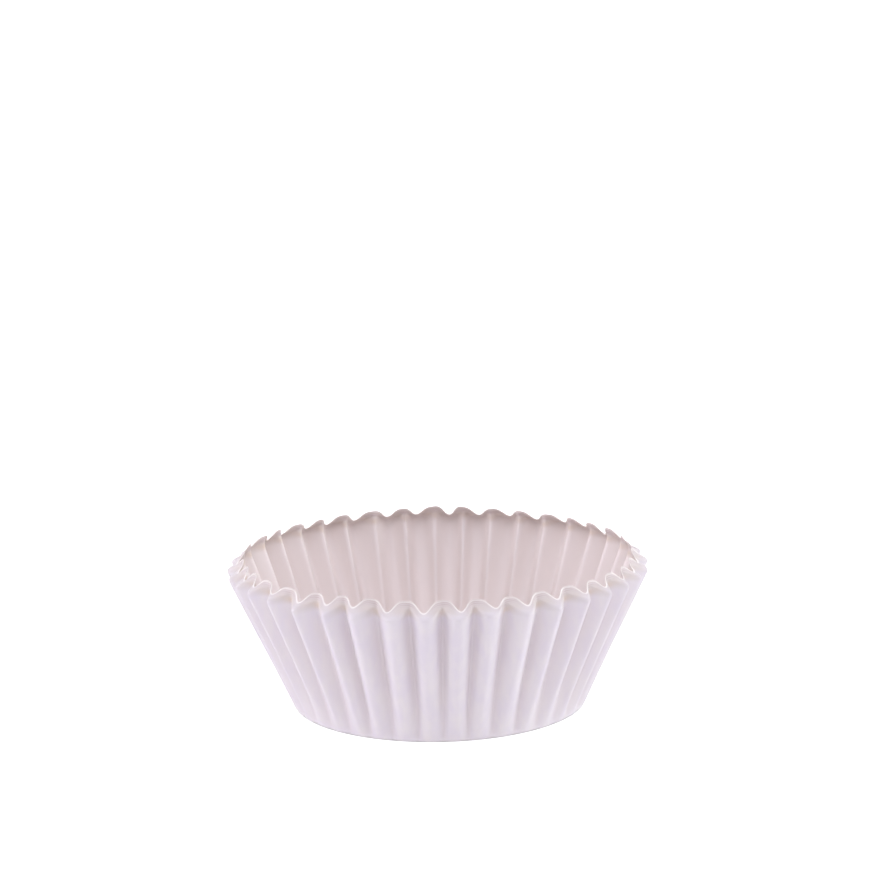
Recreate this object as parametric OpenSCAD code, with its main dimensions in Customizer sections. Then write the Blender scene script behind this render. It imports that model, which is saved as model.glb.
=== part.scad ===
// Cupcake liner: a round sheet of greaseproof paper, pressed between two fluted dies into a cup.
// It is one piece. The flutes start as fine pleats at the floor and open out towards the mouth.
// A crease runs round near the top, and above it the lip turns in, so the rim is a row of arches.
// The origin is the centre of the floor's underside. +Z points up, out of the mouth.

/* [Cup] */
// Diameter at the foot of the wall
base_d = 50.4; // [40:0.2:60]
// Diameter over the flutes at the crease, the widest place
mouth_d = 72.5; // [66:0.5:84]
// Height of the crease above the table
wall_h = 23.8; // [16:0.2:34]
// Radius where the floor turns up into the wall
foot_r = 0.6; // [0.4:0.1:3]

/* [Flutes] */
// Number of flutes
flutes = 38; // [24:1:44]
// Depth of a flute at the crease, from ridge to valley
flute_depth = 3.3; // [1.5:0.1:4]
// Depth of a flute at the foot of the wall
foot_depth = 0.2; // [0.1:0.1:1]
// How much deeper the flutes are low on the wall than if they grew evenly from the foot
depth_swell = 0.4; // [0:0.1:0.6]
// Depth of a flute at the rim
rim_depth = 1.2; // [0.5:0.1:2]
// Shape of the flutes on the wall: the higher it is, the broader the ridges
// and the narrower the valleys
ridge_form = 1.9; // [1.4:0.1:3]
// Shape of the rim: the higher it is, the broader the arches and the narrower the notches
notch_form = 2.1; // [1:0.1:3]

/* [Lip] */
// Rise of the lip from the crease to the rim, on a ridge
lip_rise = 0.7; // [0.5:0.1:3]
// How far the lip leans in from the crease to the rim, on a ridge
lip_in = 1.8; // [0.5:0.1:2.5]
// Height of each arch of the rim, from its notch on a ridge to its top over a valley
arch_h = 1.6; // [0.4:0.1:2.5]
// How much higher the crease runs across a valley than across a ridge
crease_rise = 0.4; // [0:0.1:1]
// Length of paper that the crease is rounded over, on each side of it
crease_soft = 0.5; // [0.2:0.1:0.8]

/* [Paper] */
// Thickness of the paper
paper = 0.1; // [0.06:0.01:0.2]

/* [Hidden] */

// Points round one flute
flute_points = 8;
// Steps round the turn at the foot of the wall
foot_steps = 2;
// Steps up the wall
wall_steps = 3;
// Steps round the crease
crease_steps = 2;

base_r = base_d / 2;
mouth_r = mouth_d / 2;
rim_r = mouth_r - lip_in;
rim_h = wall_h + lip_rise;
around = flutes * flute_points;

// The section along a ridge, and the section along a valley. They have as many points as each other.
ridge_line = section(base_r, [mouth_r, wall_h], [rim_r, rim_h]);
valley_line = section(
    base_r - foot_depth,
    [mouth_r - flute_depth, wall_h + crease_rise],
    [rim_r - rim_depth, rim_h + arch_h],
    depth_swell
);
rows = len(ridge_line);
crease_row = rows - crease_steps - 2;

// One section from the floor's edge to the rim, as [radius, height] points:
// an arc at the foot, the wall, a rounded crease and the lip.
// The wall is straight, or sinks in by the swell, most of all a quarter of the way up.
function section(foot, crease, rim, swell = 0) =
    let (
        lean = atan2(crease.x - foot, crease.y),
        turn = 90 - lean,
        arc = [
            for (i = [0 : foot_steps])
                let (t = turn * i / foot_steps)
                [foot - foot_r + foot_r * sin(t), foot_r - foot_r * cos(t)]
        ],
        wall_foot = arc[foot_steps],
        below = towards(crease, wall_foot, crease_soft),
        above = towards(crease, rim, crease_soft),
        wall = [
            for (i = [1 : wall_steps - 1])
                let (share = i / wall_steps)
                mix(wall_foot, below, share) - [4 * swell * (sqrt(share) - share), 0]
        ],
        bend = [for (i = [0 : crease_steps]) curve(below, crease, above, i / crease_steps)]
    )
    concat(arc, wall, bend, [rim]);

// The point part of the way from a to b
function mix(a, b, share) = a + (b - a) * share;

// The point that lies a given distance from a, on the way to b
function towards(a, b, distance) = a + (b - a) * distance / norm(b - a);

// A smooth bend from a to b, drawn towards the corner
function curve(a, corner, b, share) = mix(mix(a, corner, share), mix(corner, b, share), share);

// How far an angle lies from the nearest ridge: 0 on the ridge and 1 in the valley
function aside(angle) = acos(cos(flutes * angle)) / 180;

// How far out the wall stands at this angle, from 1 on a ridge to 0 in a valley:
// a round ridge between two sharp valleys
function wall_wave(angle) = 1 - aside(angle) ^ ridge_form;

// The same at the rim: a narrow notch on each ridge, between two flat arches
function rim_wave(angle) = ((1 + cos(flutes * angle)) / 2) ^ notch_form;

// The wall's wave as far as the crease, from where it changes row by row to the rim's
function wave(row, angle) =
    mix(wall_wave(angle), rim_wave(angle), max(0, row - crease_row) / (rows - 1 - crease_row));

// The outer face, row by row from the floor's edge to the rim
outer = [
    for (row = [0 : rows - 1], column = [0 : around - 1])
        let (
            angle = 360 * column / around,
            p = mix(valley_line[row], ridge_line[row], wave(row, angle))
        )
        [p.x * cos(angle), p.x * sin(angle), p.y]
];

function outer_at(row, column) = outer[row * around + (column + around) % around];

// The way out of the paper at a point. The floor faces straight down.
function outward(row, column) =
    row == 0 ? [0, 0, -1] :
    let (
        along = outer_at(row, column + 1) - outer_at(row, column - 1),
        up = outer_at(min(row + 1, rows - 1), column) - outer_at(row - 1, column),
        n = cross(along, up)
    )
    n / norm(n);

// The inner face lies one thickness of paper behind the outer face
inner = [
    for (row = [0 : rows - 1], column = [0 : around - 1])
        outer_at(row, column) - paper * outward(row, column)
];

// Two triangles in each gap between two rings of points, given by their first points.
// The gap is cut along one diagonal before a valley and along the other after it, so that both
// sides of a flute are the same. The outer and the inner face are cut alike, so that the paper
// is as thick in the middle of a gap as at its corners.
function band(below, above, inward = false) = [
    for (column = [0 : around - 1])
        let (
            next = (column + 1) % around,
            a = below + column,
            b = below + next,
            c = above + column,
            d = above + next,
            before_valley = column % flute_points < flute_points / 2,
            pair = before_valley ? [[a, c, b], [b, c, d]] : [[a, c, d], [a, d, b]]
        )
        each inward ? [for (t = pair) [t[0], t[2], t[1]]] : pair
];

// Triangles that close a ring at its middle point
function fan(middle, ring, up) = [
    for (column = [0 : around - 1])
        let (
            a = ring + column,
            b = ring + (column + 1) % around
        )
        up ? [middle, b, a] : [middle, a, b]
];

module liner() {
    color("#ece7ee") {
        inside = rows * around;
        floor_below = 2 * inside;
        floor_above = floor_below + 1;
        top = inside - around;
        polyhedron(
            points = concat(outer, inner, [[0, 0, 0], [0, 0, paper]]),
            faces = concat(
                [for (ring = [0 : around : top - around]) each band(ring, ring + around)],
                [
                    for (ring = [inside : around : inside + top - around])
                        each band(ring, ring + around, true)
                ],
                band(top, inside + top),
                fan(floor_below, 0, false),
                fan(floor_above, inside, true)
            ),
            convexity = 10
        );
    }
}

liner();
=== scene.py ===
import math

import bpy
import numpy as np
from mathutils import Matrix


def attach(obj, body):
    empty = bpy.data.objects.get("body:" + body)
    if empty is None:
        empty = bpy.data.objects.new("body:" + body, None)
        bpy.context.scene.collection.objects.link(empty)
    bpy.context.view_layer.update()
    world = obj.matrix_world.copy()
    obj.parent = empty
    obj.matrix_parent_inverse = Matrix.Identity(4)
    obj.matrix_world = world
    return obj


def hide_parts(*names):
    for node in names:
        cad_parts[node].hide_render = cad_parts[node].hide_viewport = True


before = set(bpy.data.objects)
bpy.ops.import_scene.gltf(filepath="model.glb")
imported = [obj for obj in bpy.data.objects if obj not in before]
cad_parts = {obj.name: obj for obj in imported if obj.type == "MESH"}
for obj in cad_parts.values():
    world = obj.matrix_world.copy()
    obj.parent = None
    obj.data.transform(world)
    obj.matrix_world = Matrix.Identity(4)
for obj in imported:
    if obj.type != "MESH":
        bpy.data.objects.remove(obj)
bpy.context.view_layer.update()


# Camera
# A long lens looks a little down on the cup from the front. The cup stands low in the frame.
# The camera leans slightly, and it stands a little to the left of the cup's front valley.
# Lengths that end in _PX are pixels of a frame of 870 by 870, and distances are in metres.

FRAME_PX = 870
SENSOR_MM = 36.0
LENS_PX = 2745.0
CAMERA_DOWN_DEG = 11.39
CAMERA_LEAN_DEG = -1.12
CAMERA_ROUND_DEG = -0.98
CAMERA_DISTANCE = 0.4764
FLOOR_CENTRE_PX = (440.0, 697.6)
NEAREST = 0.01
FURTHEST = 20.0


def camera_matrix():
    """Where the camera stands so that the cup's origin falls on its pixel.

    The view direction is tipped down, then leaned about itself, then turned round the cup's axis.
    The camera is one distance back from the origin, along the ray through the origin's pixel."""
    down, lean, turn = (math.radians(v) for v in (CAMERA_DOWN_DEG, CAMERA_LEAN_DEG, CAMERA_ROUND_DEG))
    ahead = np.array([0.0, math.cos(down), -math.sin(down)])
    level_up = np.array([0.0, math.sin(down), math.cos(down)])
    level_right = np.array([1.0, 0.0, 0.0])
    right = math.cos(lean) * level_right + math.sin(lean) * level_up
    up = math.cos(lean) * level_up - math.sin(lean) * level_right
    middle = FRAME_PX / 2
    across = (FLOOR_CENTRE_PX[0] - middle) / LENS_PX
    above = -(FLOOR_CENTRE_PX[1] - middle) / LENS_PX
    ray = across * right + above * up + ahead
    place = -CAMERA_DISTANCE * ray / np.linalg.norm(ray)
    axes = np.column_stack([right, up, -ahead])
    matrix = Matrix.Identity(4)
    for row in range(3):
        for column in range(3):
            matrix[row][column] = axes[row, column]
        matrix[row][3] = place[row]
    return Matrix.Rotation(turn, 4, "Z") @ matrix


camera_data = bpy.data.cameras.new("camera")
camera_data.sensor_width = SENSOR_MM
camera_data.lens = LENS_PX * SENSOR_MM / FRAME_PX
camera_data.clip_start = NEAREST
camera_data.clip_end = FURTHEST
camera = bpy.data.objects.new("camera", camera_data)
camera.matrix_world = camera_matrix()
bpy.context.collection.objects.link(camera)
bpy.context.scene.camera = camera


# Table
# A wide matt table that runs out of view on every side, lit from beneath as well as from above.
# It shows as white, and it still takes the cup's soft shadow. Distances are in metres.

TABLE_REACH = 6.0
TABLE_MATT = "a0a0a0"
BENEATH_FOR_CAMERA = 0.33
BENEATH_FOR_ALL = 0.74
UNDER_CUP = (0.0248, 0.0254)
UNDER_CUP_SHARE = 0.3


def linear(code):
    """An sRGB hex code as linear red, green, blue and alpha: each channel through the sRGB curve."""
    channels = [int(code[i:i + 2], 16) / 255 for i in (0, 2, 4)]
    return [c / 12.92 if c <= 0.04045 else ((c + 0.055) / 1.055) ** 2.4 for c in channels] + [1.0]


def add_node(tree, kind, settings=None, links=None):
    """Adds one node. Settings are its own properties or the values of its inputs by name,
    and links join its inputs to other nodes' outputs."""
    node = tree.nodes.new(kind)
    for name, value in (settings or {}).items():
        if hasattr(node, name):
            setattr(node, name, value)
        else:
            node.inputs[name].default_value = value
    for name, source in (links or {}).items():
        tree.links.new(source, node.inputs[name])
    return node


def new_material(name):
    """An empty material with only an output node, and its node tree."""
    material = bpy.data.materials.new(name)
    material.use_nodes = True
    tree = material.node_tree
    tree.nodes.clear()
    return material, tree


def table_material():
    """Matt, with light from beneath that is stronger for the camera's own rays. That light is dimmer
    under the cup, as far as the edge of its foot, so that there is a thin shadow where it touches.
    The share of the light rises smoothly with the distance from the cup's middle."""
    material, tree = new_material("matt_white_table")
    matt = add_node(tree, "ShaderNodeBsdfDiffuse", {"Color": linear(TABLE_MATT)})
    path = add_node(tree, "ShaderNodeLightPath")
    lift = add_node(
        tree, "ShaderNodeMath", {"operation": "MULTIPLY_ADD"}, {0: path.outputs["Is Camera Ray"]}
    )
    lift.inputs[1].default_value = BENEATH_FOR_CAMERA
    lift.inputs[2].default_value = BENEATH_FOR_ALL
    place = add_node(tree, "ShaderNodeTexCoord")
    reach = add_node(tree, "ShaderNodeVectorMath", {"operation": "LENGTH"}, {0: place.outputs["Object"]})
    edge = {"interpolation_type": "SMOOTHSTEP", "From Min": UNDER_CUP[0], "From Max": UNDER_CUP[1]}
    dimmed = {**edge, "To Min": UNDER_CUP_SHARE}
    clear = add_node(tree, "ShaderNodeMapRange", dimmed, {"Value": reach.outputs["Value"]})
    strength = {0: lift.outputs[0], 1: clear.outputs[0]}
    beneath = add_node(tree, "ShaderNodeMath", {"operation": "MULTIPLY"}, strength)
    glow = add_node(tree, "ShaderNodeEmission", None, {"Strength": beneath.outputs[0]})
    both = add_node(tree, "ShaderNodeAddShader", None, {0: matt.outputs[0], 1: glow.outputs[0]})
    add_node(tree, "ShaderNodeOutputMaterial", None, {"Surface": both.outputs[0]})
    return material


table_corners = [
    (-TABLE_REACH, -TABLE_REACH, 0.0),
    (TABLE_REACH, -TABLE_REACH, 0.0),
    (TABLE_REACH, TABLE_REACH, 0.0),
    (-TABLE_REACH, TABLE_REACH, 0.0),
]
table_mesh = bpy.data.meshes.new("table")
table_mesh.from_pydata(table_corners, [], [(0, 1, 2, 3)])
table_mesh.materials.append(table_material())
table = bpy.data.objects.new("table", table_mesh)
bpy.context.collection.objects.link(table)


# Light
# White surroundings with a bright panel at each side, a bright wall behind and more light from
# above. The side towards the camera is dimmer, which gives each flute a soft shade of its own.
# An edge gives how squarely a direction points at a light where it starts, and where it is full.

BACKDROP_WHITE = "ffffff"
BACKDROP_LIGHT = 1.0
LIGHT_TINT = "f0f1ff"
RIGHT_TINT = "f0faff"
FILL_LIGHT = 0.05
SIDE_LIGHT = 5.6
SIDE_EDGE = (0.8, 1.0)
BACK_LIGHT = 1.25
BACK_EDGE = (0.0, 0.8)
TOP_LIGHT = 1.95
TOP_AIM = (0.0, -0.4, 0.9)
TOP_EDGE = (0.4, 1.0)


def rise(tree, value, edge, height):
    """The output of a node that rises smoothly from 0 to the height as the value crosses the edge."""
    step = {"interpolation_type": "SMOOTHSTEP", "From Min": edge[0], "From Max": edge[1]}
    return add_node(tree, "ShaderNodeMapRange", {**step, "To Max": height}, {"Value": value}).outputs[0]


def add_up(tree, first, second):
    """The output of a node that adds two outputs."""
    return add_node(tree, "ShaderNodeMath", {"operation": "ADD"}, {0: first, 1: second}).outputs[0]


def white_world():
    """White all round. The strength is the fill, plus the side panels where the direction's x is large
    either way, plus the wall behind by its y, plus the light from above by the dot product of the
    direction and its aim. The light is faintly blue, and a little greener on the right. The camera
    itself sees full white."""
    world = bpy.data.worlds.new("white_surroundings")
    world.use_nodes = True
    tree = world.node_tree
    tree.nodes.clear()
    place = add_node(tree, "ShaderNodeTexCoord")
    way = add_node(tree, "ShaderNodeSeparateXYZ", None, {"Vector": place.outputs["Generated"]})
    aside = add_node(tree, "ShaderNodeMath", {"operation": "ABSOLUTE"}, {0: way.outputs["X"]})
    side = rise(tree, aside.outputs[0], SIDE_EDGE, SIDE_LIGHT)
    back = rise(tree, way.outputs["Y"], BACK_EDGE, BACK_LIGHT)
    above = add_node(tree, "ShaderNodeVectorMath", {"operation": "DOT_PRODUCT"})
    tree.links.new(place.outputs["Generated"], above.inputs[0])
    above.inputs[1].default_value = TOP_AIM
    top = rise(tree, above.outputs["Value"], TOP_EDGE, TOP_LIGHT)
    panels = add_up(tree, add_up(tree, side, back), top)
    total = add_node(tree, "ShaderNodeMath", {"operation": "ADD"}, {0: panels})
    total.inputs[1].default_value = FILL_LIGHT
    path = add_node(tree, "ShaderNodeLightPath")
    levels = {0: path.outputs["Is Camera Ray"], 2: total.outputs[0]}
    level = add_node(tree, "ShaderNodeMix", {"data_type": "FLOAT"}, levels)
    level.inputs[3].default_value = BACKDROP_LIGHT
    right = rise(tree, way.outputs["X"], SIDE_EDGE, 1.0)
    tint = add_node(tree, "ShaderNodeMix", {"data_type": "RGBA"}, {0: right})
    tint.inputs[6].default_value = linear(LIGHT_TINT)
    tint.inputs[7].default_value = linear(RIGHT_TINT)
    colours = {0: path.outputs["Is Camera Ray"], 6: tint.outputs[2]}
    seen = add_node(tree, "ShaderNodeMix", {"data_type": "RGBA"}, colours)
    seen.inputs[7].default_value = linear(BACKDROP_WHITE)
    shine = {"Color": seen.outputs[2], "Strength": level.outputs[0]}
    glow = add_node(tree, "ShaderNodeBackground", None, shine)
    add_node(tree, "ShaderNodeOutputWorld", None, {"Surface": glow.outputs[0]})
    return world


bpy.context.scene.world = white_world()
bpy.context.scene.view_settings.view_transform = "Standard"


# Paper liner
# One round sheet of white greaseproof paper, pressed hot between fluted dies into a cup.
# The flutes open out from the floor to a crease near the top, above which the lip turns in.
# No two flutes come out of the press quite alike, because the sheet slips as it is drawn in.

MM = 0.001

# Sizes in mm
PAPER = 0.1
BASE_R = 25.4
MOUTH_R = 36.25
WALL_H = 23.8
FOOT_R = 0.6
FLUTES = 38
FLUTE_DEPTH = 3.0
SIDE_DEEPER = 0.15
FOOT_DEPTH = 0.2
DEPTH_SWELL = 0.55
RIM_DEPTH = 1.2
LIP_RISE = 0.7
LIP_IN = 1.8
ARCH_H = 1.6
CREASE_RISE = 0.4
CREASE_SOFT = 0.9
SIDE_CREST = 0.3

# Powers for the shape of the flutes. The higher they are, the broader the ridges on the wall and the
# arches at the rim. The ridges' power is lower at the sides, where they are sharper, and the last
# power sets how far the sides reach round towards the front and the back.
RIDGE_FORM = 2.3
SIDE_SHARPER = 1.35
NOTCH_FORM = 2.1
SIDE_REACH = 6

# Rows of points up the section, points round one flute, and rounds of smoothing. The floor's first
# ring is this share of its radius, and the wall's rows are closer at the foot by this power.
FLOOR_ROWS = 6
FOOT_ROWS = 5
WALL_ROWS = 23
BEND_ROWS = 7
LIP_ROWS = 12
POINTS_PER_FLUTE = 20
SMOOTH_ROUNDS = 2
MIDDLE_RING = 0.03
CLOSER_AT_FOOT = 1.5

# How uneven the flutes are: in mm, in degrees round the cup, and for the rim's notches in radians of
# the flutes' wave. Each spread has the seed of its random values. The squeeze isn't random.
CREASE_SEED = 1
CREASE_SPREAD = 0.12
NOTCH_SEED = 2
NOTCH_SPREAD = 0.14
ARCH_SEED = 3
ARCH_SPREAD = 0.12
LEAN_SEED = 4
LEAN_SPREAD = 0.15
DEPTH_SEED = 5
DEPTH_SPREAD = 0.2
STRAY_SEED = 52234
STRAY_DEG = 0.6
NOTCH_STRAY_SEED = 33097
NOTCH_STRAY = 0.35
SQUEEZE_DEG = 0.9

# The dents' waves: how many, how many times each goes round the cup, how far it turns per mm of
# height, in radians, and the size and the fading heights in mm
DENT_SEED = 7
DENT_WAVES = 60
DENT_COUNTS = (30, 120)
DENT_SLOPE = 0.2
DENT_SIZE = 0.03
DENT_FADE_FOOT = 4
DENT_FADE_CREASE = 2

angle = np.arange(FLUTES * POINTS_PER_FLUTE) * 2 * math.pi / (FLUTES * POINTS_PER_FLUTE)
# From 0 at the front and the back of the cup to 1 at its sides
side = 1 - np.sin(angle) ** SIDE_REACH


def uneven(seed, spread):
    """One random value for each flute, joined up round the cup by smooth steps: between two flutes
    the values are mixed by three times the square of the share less twice its cube."""
    values = np.random.default_rng(seed).normal(0.0, spread, FLUTES)
    along = angle * FLUTES / (2 * math.pi)
    flute = np.floor(along).astype(int)
    share = along - flute
    share = share * share * (3 - 2 * share)
    return values[flute % FLUTES] * (1 - share) + values[(flute + 1) % FLUTES] * share


def towards(start, end, distance):
    """The points that lie a distance from the start points, on the way to the end points."""
    way = end - start
    return start + way * distance / np.linalg.norm(way, axis=-1, keepdims=True)


def section(foot_r, crease, rim):
    """Sections of the cup from the middle of the floor to the rim, one for each place round it,
    as a grid of radius and height.

    The floor is flat, an arc turns it up, the wall is straight with its rows closer near the foot,
    the crease is a smooth bend drawn towards its corner, and the lip is straight."""
    foot = np.stack([np.full_like(angle, foot_r), np.zeros_like(angle)], axis=-1)
    lean = np.arctan2(crease[:, 0] - foot_r, crease[:, 1])
    floor_share = np.linspace(MIDDLE_RING, 1.0, FLOOR_ROWS + 1)[:-1, None, None]
    floor = towards(foot, np.zeros_like(foot), FOOT_R) * floor_share
    turn = np.linspace(0.0, 1.0, FOOT_ROWS)[:, None] * (math.pi / 2 - lean)
    arc = np.stack([foot_r - FOOT_R + FOOT_R * np.sin(turn), FOOT_R - FOOT_R * np.cos(turn)], axis=-1)
    below = towards(crease, arc[-1], CREASE_SOFT)
    above = towards(crease, rim, CREASE_SOFT)
    wall_share = np.linspace(0.0, 1.0, WALL_ROWS + 2)[1:-1, None, None] ** CLOSER_AT_FOOT
    wall = arc[-1] + (below - arc[-1]) * wall_share
    bend_share = np.linspace(0.0, 1.0, BEND_ROWS)[:, None, None]
    first = below + (crease - below) * bend_share
    second = crease + (above - crease) * bend_share
    bend = first + (second - first) * bend_share
    lip = above + (rim - above) * np.linspace(0.0, 1.0, LIP_ROWS + 1)[1:, None, None]
    return np.concatenate([floor, arc, wall, bend, lip])


def dents(height):
    """Faint dents left by the press: many seeded waves of the place round the cup, each of which
    slants a little up the wall, added up. They fade out at the foot and at the crease."""
    rng = np.random.default_rng(DENT_SEED)
    counts = rng.integers(*DENT_COUNTS, DENT_WAVES)
    slopes = rng.normal(0.0, DENT_SLOPE, DENT_WAVES)
    turns = rng.uniform(0.0, 2 * math.pi, DENT_WAVES)
    total = sum(np.cos(c * angle + s * height + t) for c, s, t in zip(counts, slopes, turns))
    fade_in = np.clip(height / DENT_FADE_FOOT, 0, 1)
    fade_out = np.clip((WALL_H - height) / DENT_FADE_CREASE, 0, 1)
    return DENT_SIZE * (fade_in * fade_out) * total / math.sqrt(DENT_WAVES / 2)


def outer_face():
    """The outer face as a grid of points, whose rows run up the section and columns round the cup,
    and how deep in a valley each point lies, from 0 to 1.

    Each point is a mix of the valley's section and the ridge's section. Low on the wall the valleys
    sink in further, because a flute's depth grows like the square root of its length. That root is
    ahead of a straight line by a quarter at most, hence the four. On the wall the mix falls from a
    ridge to a valley by a power of the way across. The ridges are broad at the front and the back. At
    the sides they are sharper, with deeper valleys. At the rim the mix is a power of a cosine wave,
    narrow on the ridge. Each row is smoothed a little, which takes the tip off a sharp crest, so the
    crests at the sides start further out. The wall is squeezed, so that its flutes lean together at
    the front and the back, but the rim isn't."""
    crease_h = WALL_H + uneven(CREASE_SEED, CREASE_SPREAD)
    notch_h = WALL_H + LIP_RISE + uneven(NOTCH_SEED, NOTCH_SPREAD)
    arch_h = WALL_H + LIP_RISE + ARCH_H + uneven(ARCH_SEED, ARCH_SPREAD)
    rim_r = MOUTH_R - LIP_IN + uneven(LEAN_SEED, LEAN_SPREAD)
    valley_r = MOUTH_R - FLUTE_DEPTH - SIDE_DEEPER * side + uneven(DEPTH_SEED, DEPTH_SPREAD)
    ridge_r = MOUTH_R + SIDE_CREST * side
    ridge = section(BASE_R, np.stack([ridge_r, crease_h], axis=-1), np.stack([rim_r, notch_h], axis=-1))
    valley = section(
        BASE_R - FOOT_DEPTH,
        np.stack([valley_r, crease_h + CREASE_RISE], axis=-1),
        np.stack([rim_r - RIM_DEPTH, arch_h], axis=-1),
    )
    climb = np.clip((valley[..., 1] - FOOT_R) / (WALL_H - FOOT_R), 0, 1)
    valley[..., 0] -= 4 * DEPTH_SWELL * (np.sqrt(climb) - climb)
    place = angle - np.radians(uneven(STRAY_SEED, STRAY_DEG))
    squeezed = place - np.radians(SQUEEZE_DEG * climb * np.sin(2 * angle))
    across = np.arccos(np.cos(FLUTES * squeezed)) / math.pi
    on_wall = 1 - across ** (RIDGE_FORM - SIDE_SHARPER * side)
    notch_place = FLUTES * place + uneven(NOTCH_STRAY_SEED, NOTCH_STRAY)
    at_rim = ((1 + np.cos(notch_place)) / 2) ** NOTCH_FORM
    share = np.zeros(len(ridge))
    share[-LIP_ROWS:] = np.linspace(0.0, 1.0, LIP_ROWS)
    wave = on_wall + (at_rim - on_wall) * share[:, None]
    for _ in range(SMOOTH_ROUNDS):
        wave = (np.roll(wave, 1, axis=1) + 2 * wave + np.roll(wave, -1, axis=1)) / 4
    profile = valley + (ridge - valley) * wave[..., None]
    height = profile[..., 1]
    radius = profile[..., 0] + dents(height)
    grid = np.stack([radius * np.cos(angle), radius * np.sin(angle), height], axis=-1)
    return grid, 1 - wave


def outward(grid):
    """The way out of the paper at each point: the cross product of the grid's two directions."""
    along = np.roll(grid, -1, axis=1) - np.roll(grid, 1, axis=1)
    up = np.gradient(grid, axis=0)
    normal = np.cross(along, up)
    return normal / np.linalg.norm(normal, axis=-1, keepdims=True)


def ring_band(first, second, columns):
    """Faces between two rings of points, each ring given by the number of its first point."""
    here = np.arange(columns)
    after = (here + 1) % columns
    return np.column_stack([first + here, first + after, second + after, second + here])


# Where the marks on the paper lie, in mm down from the rim or up from the table, and how strong
# they are. The marks are painted shade, and a painted highlight along the cut edge.
# Painted highlight along the rim's cut edge
EDGE_HIGHLIGHT_MM = 0.45
EDGE_HIGHLIGHT_FULL = 1.5
EDGE_HIGHLIGHT_LESS_IN_VALLEY = 0.6
# Painted shade on the lip's flanks, half way from a ridge to a valley
LIP_FLANK_SHADE_SHARE = 0.5
# Painted shade in the arches of the rim over the valleys
ARCH_SHADE_MM = 1.3
ARCH_SHADE_SOFT_MM = 0.5
# Warm painted shade along the crease in the valleys, which lies this far down from the rim
CREASE_FROM_RIM_MM = 1.9
CREASE_SHADE_SOFT_MM = 0.6
CREASE_SHADE_SPREAD_SHARE = 0.35
CREASE_SHADE_FORM = 6
# Painted shade in the valleys below the crease
SHADE_START_MM = 1.0
SHADE_FADE_MM = 5.0
SHADE_FORM_FRONT = 3
SHADE_FORM_SIDE = 1
SHADE_LESS_AT_SIDE = 0.35


def paper_marks(grid, valley):
    """Marks on the paper for its material, each with a value at every point of the face.

    from_rim is the distance down the paper from the rim in mm. The cut edge is the last bit of it,
    with a painted highlight that is fainter over a valley, and the lip is all the paper past the crease,
    where shade is painted. More shade is painted on the lip half way from a ridge to a valley, and in the
    arch of the rim over a valley. A warm painted shade follows the crease across a valley and is
    strongest at its bottom. Shade is also painted in the valleys below the crease, by a power of the
    depth: deep down in them at the front, wider at the sides."""
    steps = np.linalg.norm(np.diff(grid, axis=0), axis=-1)
    from_rim = np.vstack([np.cumsum(steps[::-1], axis=0)[::-1], np.zeros(grid.shape[1])])
    past_bend = np.arange(len(grid))[:, None] - (len(grid) - LIP_ROWS - BEND_ROWS)
    lip = np.clip(past_bend / BEND_ROWS, 0, 1) * np.ones_like(from_rim)
    off_table = np.clip(grid[..., 2] / SHADE_START_MM, 0, 1)
    below_crease = np.clip((from_rim - CREASE_FROM_RIM_MM) / SHADE_FADE_MM, 0, 1)
    along_crease = np.exp(-(((from_rim - CREASE_FROM_RIM_MM) / CREASE_SHADE_SOFT_MM) ** 2))
    at_edge = np.clip(EDGE_HIGHLIGHT_FULL - EDGE_HIGHLIGHT_FULL * from_rim / EDGE_HIGHLIGHT_MM, 0, 1)
    half_way = 4 * valley * (1 - valley)
    stain = CREASE_SHADE_SPREAD_SHARE * valley + (1 - CREASE_SHADE_SPREAD_SHARE) * valley**CREASE_SHADE_FORM
    shade_form = SHADE_FORM_FRONT + (SHADE_FORM_SIDE - SHADE_FORM_FRONT) * side
    # Besides from_rim, these are masks for a painted highlight at the cut edge and for painted shade on the
    # lip, its flanks, the arches, the crease and the valleys
    return {
        "from_rim": from_rim,
        "edge_highlight": (1 - EDGE_HIGHLIGHT_LESS_IN_VALLEY * valley**2) * at_edge,
        "lip": lip,
        "lip_flank_shade": LIP_FLANK_SHADE_SHARE * lip * half_way,
        "crushed": valley**2 * np.clip((ARCH_SHADE_MM - from_rim) / ARCH_SHADE_SOFT_MM, 0, 1),
        "crease_shade": stain * along_crease,
        "shade": (1 - SHADE_LESS_AT_SIDE * side) * valley**shade_form * below_crease * off_table,
    }


SHARP_DEG = 70


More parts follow.
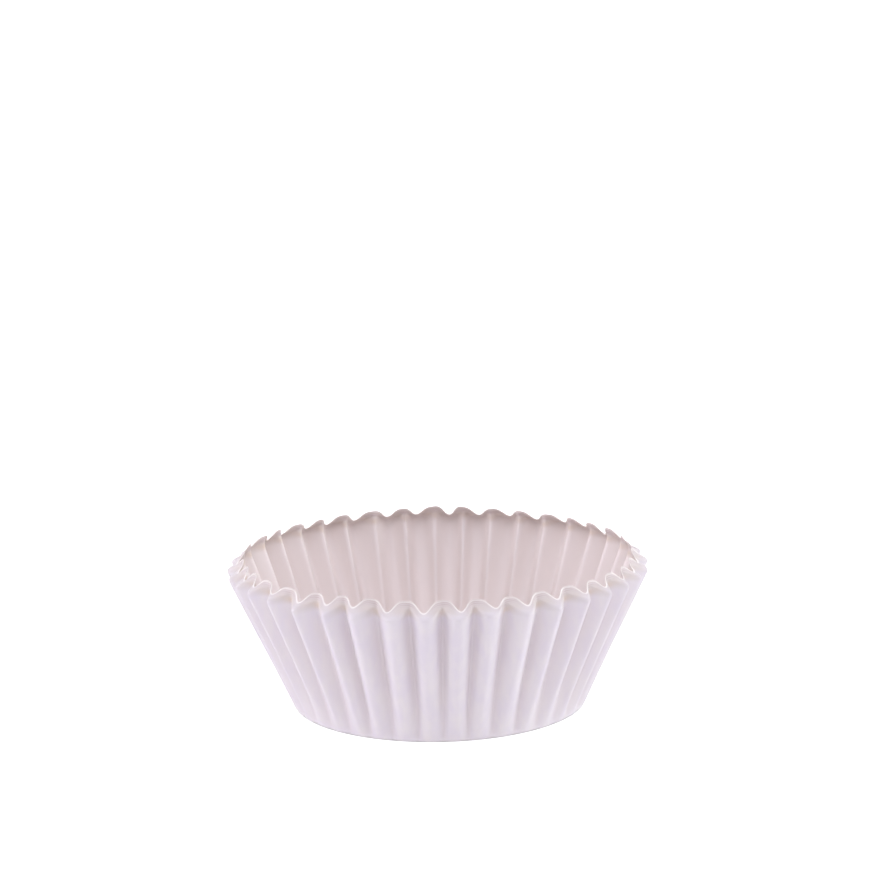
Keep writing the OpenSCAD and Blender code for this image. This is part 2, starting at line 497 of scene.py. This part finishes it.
def liner_mesh():
    """The closed skin of the paper: the outer face, the inner face one thickness behind it, a band
    along the rim's cut edge, and a fan of triangles at the middle of the floor on each side. Every
    mark is the same on both faces, but the painted shade in the valleys is only on the outer one, and
    "within" tells the inner face from the outer."""
    outer, valley = outer_face()
    inner = outer - PAPER * outward(outer)
    rows, columns = outer.shape[:2]
    inside = rows * columns
    middles = np.array([[0.0, 0.0, 0.0], [0.0, 0.0, PAPER]])
    points = np.vstack([outer.reshape(-1, 3), inner.reshape(-1, 3), middles]) * MM
    top = (rows - 1) * columns
    bands = [ring_band(r * columns, (r + 1) * columns, columns) for r in range(rows - 1)]
    bands += [ring_band(inside + (r + 1) * columns, inside + r * columns, columns) for r in range(rows - 1)]
    bands.append(ring_band(top, inside + top, columns))
    here = np.arange(columns)
    after = (here + 1) % columns
    under = np.column_stack([np.full(columns, 2 * inside), after, here])
    over = np.column_stack([np.full(columns, 2 * inside + 1), inside + here, inside + after])
    faces = np.vstack(bands).tolist() + under.tolist() + over.tolist()
    mesh = bpy.data.meshes.new("paper_liner")
    mesh.from_pydata(points.tolist(), [], faces)
    for name, values in paper_marks(outer, valley).items():
        mark = mesh.attributes.new(name, "FLOAT", "POINT")
        behind = np.zeros_like(values) if name == "shade" else values
        mark.data.foreach_set("value", np.concatenate([values.ravel(), behind.ravel(), [0.0, 0.0]]))
    mark = mesh.attributes.new("within", "FLOAT", "POINT")
    mark.data.foreach_set("value", np.repeat([0.0, 1.0, 0.0, 1.0], [inside, inside, 1, 1]))
    mesh.shade_smooth()
    mesh.set_sharp_from_angle(angle=math.radians(SHARP_DEG))
    return mesh


PAPER_WHITE = "eae4e7"
PAPER_THROUGH = "f2e6e0"
# Painted light: a warmer copy of the paper for the inner face, for the light bounced round inside
INSIDE_PAINTED_LIGHT = "efe5df"
# Warm painted shade along the crease
CREASE_PAINTED_SHADE = "dcc8b2"
# Painted shade on the lip
LIP_PAINTED_SHADE = "dfd7d5"
# Painted shade on the lip's flanks
LIP_FLANK_PAINTED_SHADE = "d2c6bc"
# Painted shade in the arches over the valleys
ARCH_PAINTED_SHADE = "c2aea8"
# Painted shade in the valleys
VALLEY_PAINTED_SHADE = "e1d7da"
# Painted highlight along the cut edge
EDGE_HIGHLIGHT = "fffaf2"
PAPER_ROUGHNESS = 0.42
PAPER_IOR = 1.47
THROUGH_SHARE = 0.22
# The clouds have their real size, and they are drawn out along the wall, like the paper.
CLOUD_MM = 1.5
CLOUD_UPRIGHT = 0.2
CLOUD_EDGE = (0.35, 0.65)
CLOUD_DARK = "e5dee7"
CLOUD_DETAIL = 3.0
# Real fibres are about 0.03 mm wide, too fine to show, so they are drawn as wide as the render needs.
FIBRE_MM = 0.35
FIBRE_DETAIL = 2.0
FIBRE_BUMP = 0.25
FIBRE_HEIGHT_MM = 0.02
# The lines in the arches' painted shade are about 0.1 mm apart, and they too are drawn wider apart.
LINE_MM = 0.33
LINE_SWING = 0.45
LINE_LEVEL = 0.55
LINE_BUMP = 0.5
LINE_HEIGHT_MM = 0.03


def mark_value(tree, name):
    """The output of a node that reads one of the marks on the mesh."""
    return add_node(tree, "ShaderNodeAttribute", {"attribute_name": name}).outputs["Fac"]


def tinted(tree, colour, code, amount):
    """The output of a node that mixes a colour towards a hex colour, by the output given."""
    mix = add_node(tree, "ShaderNodeMix", {"data_type": "RGBA"}, {0: amount, 6: colour})
    mix.inputs[7].default_value = linear(code)
    return mix.outputs[2]


def paper_material():
    """White greaseproof paper, calendered, that is pressed between hot rollers: smooth and slightly
    waxy, with a soft shine, and thin enough to let some light through. It is faintly cloudy. The inner
    face is a warmer copy, painted light for the warm light bounced round inside the cup. Shade is
    painted on the crease, the lip, the lip's flanks, the arches over the valleys and the valleys, and a
    highlight is painted along the cut edge. The lines in the arches' painted shade are a sine wave of
    the distance from the rim."""
    material, tree = new_material("white_greaseproof_paper")
    point = add_node(tree, "ShaderNodeTexCoord").outputs["Object"]
    drawn = add_node(tree, "ShaderNodeVectorMath", {"operation": "MULTIPLY"}, {0: point})
    drawn.inputs[1].default_value = (1.0, 1.0, CLOUD_UPRIGHT)
    cloud_scale = {"Scale": 1 / (CLOUD_MM * MM), "Detail": CLOUD_DETAIL}
    cloud = add_node(tree, "ShaderNodeTexNoise", cloud_scale, {"Vector": drawn.outputs[0]})
    spread = {"From Min": CLOUD_EDGE[0], "From Max": CLOUD_EDGE[1]}
    clear = add_node(tree, "ShaderNodeMapRange", spread, {"Value": cloud.outputs["Fac"]})
    cloudy = add_node(tree, "ShaderNodeMix", {"data_type": "RGBA"}, {0: clear.outputs[0]})
    cloudy.inputs[6].default_value = linear(PAPER_WHITE)
    cloudy.inputs[7].default_value = linear(CLOUD_DARK)
    beat = add_node(tree, "ShaderNodeMath", {"operation": "MULTIPLY"}, {0: mark_value(tree, "from_rim")})
    beat.inputs[1].default_value = 2 * math.pi / LINE_MM
    wave = add_node(tree, "ShaderNodeMath", {"operation": "SINE"}, {0: beat.outputs[0]})
    line = add_node(tree, "ShaderNodeMath", {"operation": "MULTIPLY_ADD"}, {0: wave.outputs[0]})
    line.inputs[1].default_value = LINE_SWING
    line.inputs[2].default_value = LINE_LEVEL
    crushed = {0: line.outputs[0], 1: mark_value(tree, "crushed")}
    lines = add_node(tree, "ShaderNodeMath", {"operation": "MULTIPLY"}, crushed).outputs[0]
    # Painted light on the inner face, then painted shade in the valleys, on the lip, its flanks, the arches
    # and the crease, and a painted highlight at the cut edge
    colour = tinted(tree, cloudy.outputs[2], INSIDE_PAINTED_LIGHT, mark_value(tree, "within"))
    colour = tinted(tree, colour, VALLEY_PAINTED_SHADE, mark_value(tree, "shade"))
    colour = tinted(tree, colour, LIP_PAINTED_SHADE, mark_value(tree, "lip"))
    colour = tinted(tree, colour, LIP_FLANK_PAINTED_SHADE, mark_value(tree, "lip_flank_shade"))
    colour = tinted(tree, colour, ARCH_PAINTED_SHADE, lines)
    colour = tinted(tree, colour, CREASE_PAINTED_SHADE, mark_value(tree, "crease_shade"))
    colour = tinted(tree, colour, EDGE_HIGHLIGHT, mark_value(tree, "edge_highlight"))
    fibre_scale = {"Scale": 1 / (FIBRE_MM * MM), "Detail": FIBRE_DETAIL}
    fibre = add_node(tree, "ShaderNodeTexNoise", fibre_scale, {"Vector": point})
    fibre_bump = {"Strength": FIBRE_BUMP, "Distance": FIBRE_HEIGHT_MM * MM}
    bumpy = add_node(tree, "ShaderNodeBump", fibre_bump, {"Height": fibre.outputs["Fac"]})
    line_bump = {"Strength": LINE_BUMP, "Distance": LINE_HEIGHT_MM * MM}
    relief = add_node(tree, "ShaderNodeBump", line_bump, {"Height": lines, "Normal": bumpy.outputs[0]})
    skin = add_node(
        tree,
        "ShaderNodeBsdfPrincipled",
        {"Roughness": PAPER_ROUGHNESS, "IOR": PAPER_IOR},
        {"Base Color": colour, "Normal": relief.outputs[0]},
    )
    through = add_node(tree, "ShaderNodeBsdfTranslucent", {"Color": linear(PAPER_THROUGH)})
    layers = {1: skin.outputs[0], 2: through.outputs[0]}
    both = add_node(tree, "ShaderNodeMixShader", {"Fac": THROUGH_SHARE}, layers)
    add_node(tree, "ShaderNodeOutputMaterial", None, {"Surface": both.outputs[0]})
    return material


liner_data = liner_mesh()
liner_data.materials.append(paper_material())
liner = bpy.data.objects.new("paper_liner", liner_data)
bpy.context.collection.objects.link(liner)
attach(liner, "root")
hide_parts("liner")
